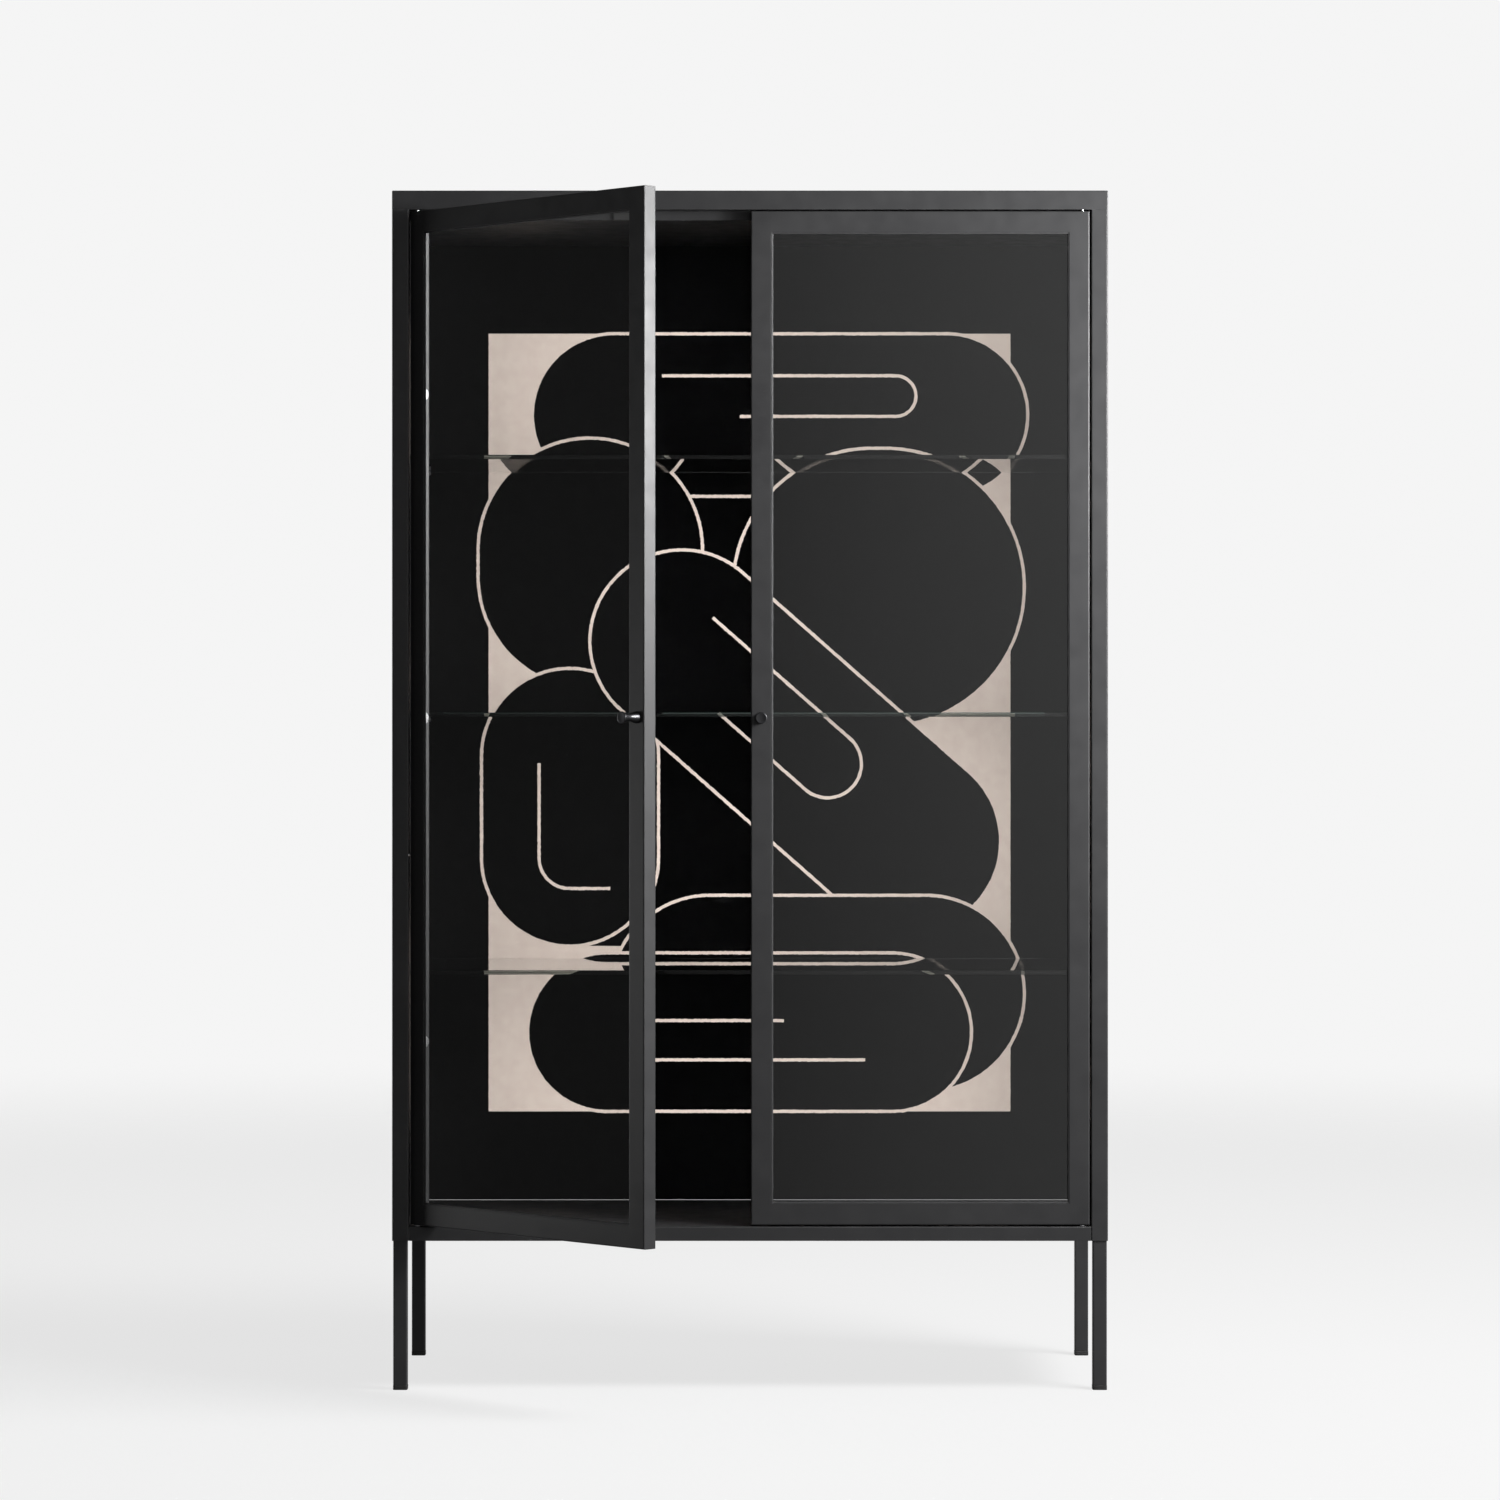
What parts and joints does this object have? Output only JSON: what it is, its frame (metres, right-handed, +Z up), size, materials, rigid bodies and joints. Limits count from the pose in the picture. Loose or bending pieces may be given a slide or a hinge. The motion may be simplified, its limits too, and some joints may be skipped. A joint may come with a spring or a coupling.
{
  "type": "display cabinet",
  "caption": "Free-standing metal display cabinet on slim legs, with glass doors on pivot pins, glass shelves and a decorated back panel.",
  "frame": {"origin": "centre of the footprint of the whole part on the floor, with the left door standing open at 45 degrees; the middle of the body lies 170.8 mm behind it", "axes": "+Z up; the front with the doors faces -Y; +X to the right as seen from the front"},
  "size_m": [1, 0.7416, 1.6755],
  "materials": {
    "body_paint": "satin charcoal powder coat",
    "back_paint": "near black lacquer",
    "print_ink": "matt cream blush ink of the line drawing on the back panel",
    "shelf_glass": "clear float glass with ground edges",
    "door_glass": "clear float glass",
    "seal_rubber": "satin black strip",
    "button_steel": "satin steel",
    "pin_steel": "zinc plated steel",
    "knob_metal": "dark plated, satin",
    "foot_plastic": "black moulded",
    "catch_plastic": "black moulded",
    "bearing_nylon": "grey nylon"
  },
  "bodies": {
    "cabinet": {"top_panel": "body_paint", "ceiling_panel": "body_paint", "bottom_panel": "body_paint", "back_panel": "back_paint", "left_side_panel": "body_paint", "right_side_panel": "body_paint", "left_side_liner": "body_paint", "right_side_liner": "body_paint", "front_left_leg": "body_paint", "front_right_leg": "body_paint", "rear_left_leg": "body_paint", "rear_right_leg": "body_paint", "front_left_foot": "foot_plastic", "front_right_foot": "foot_plastic", "rear_left_foot": "foot_plastic", "rear_right_foot": "foot_plastic", "glass_shelf_1": "shelf_glass", "glass_shelf_2": "shelf_glass", "glass_shelf_3": "shelf_glass", "left_front_shelf_pin_1": "pin_steel", "left_front_shelf_pin_2": "pin_steel", "left_front_shelf_pin_3": "pin_steel", "left_rear_shelf_pin_1": "pin_steel", "left_rear_shelf_pin_2": "pin_steel", "left_rear_shelf_pin_3": "pin_steel", "right_front_shelf_pin_1": "pin_steel", "right_front_shelf_pin_2": "pin_steel", "right_front_shelf_pin_3": "pin_steel", "right_rear_shelf_pin_1": "pin_steel", "right_rear_shelf_pin_2": "pin_steel", "right_rear_shelf_pin_3": "pin_steel", "left_top_pivot_pin": "pin_steel", "left_bottom_pivot_pin": "pin_steel", "left_bottom_pivot_washer": "bearing_nylon", "right_top_pivot_pin": "pin_steel", "right_bottom_pivot_pin": "pin_steel", "right_bottom_pivot_washer": "bearing_nylon", "left_door_catch": "catch_plastic", "right_door_catch": "catch_plastic"},
    "left_door": {"left_door_frame": "body_paint", "left_door_glass": "door_glass", "left_door_seal": "seal_rubber", "left_glass_button_1": "button_steel", "left_glass_button_2": "button_steel", "left_glass_button_3": "button_steel", "left_knob": "knob_metal", "left_knob_screw": "pin_steel", "left_top_bush": "bearing_nylon", "left_bottom_bush": "bearing_nylon"},
    "right_door": {"right_door_frame": "body_paint", "right_door_glass": "door_glass", "right_door_seal": "seal_rubber", "right_glass_button_1": "button_steel", "right_glass_button_2": "button_steel", "right_glass_button_3": "button_steel", "right_knob": "knob_metal", "right_knob_screw": "pin_steel", "right_top_bush": "bearing_nylon", "right_bottom_bush": "bearing_nylon"}
  },
  "joints": [
    {"name": "left_door_hinge", "type": "hinge", "parent": "cabinet", "child": "left_door", "pos_m": [-0.4645, -0.02369, 0.93875], "axis": [0, 0, -1], "range_deg": [-45, 65]},
    {"name": "right_door_hinge", "type": "hinge", "parent": "cabinet", "child": "right_door", "pos_m": [0.4645, -0.02369, 0.93875], "axis": [0, 0, 1], "range_deg": [0, 110]}
  ]
}
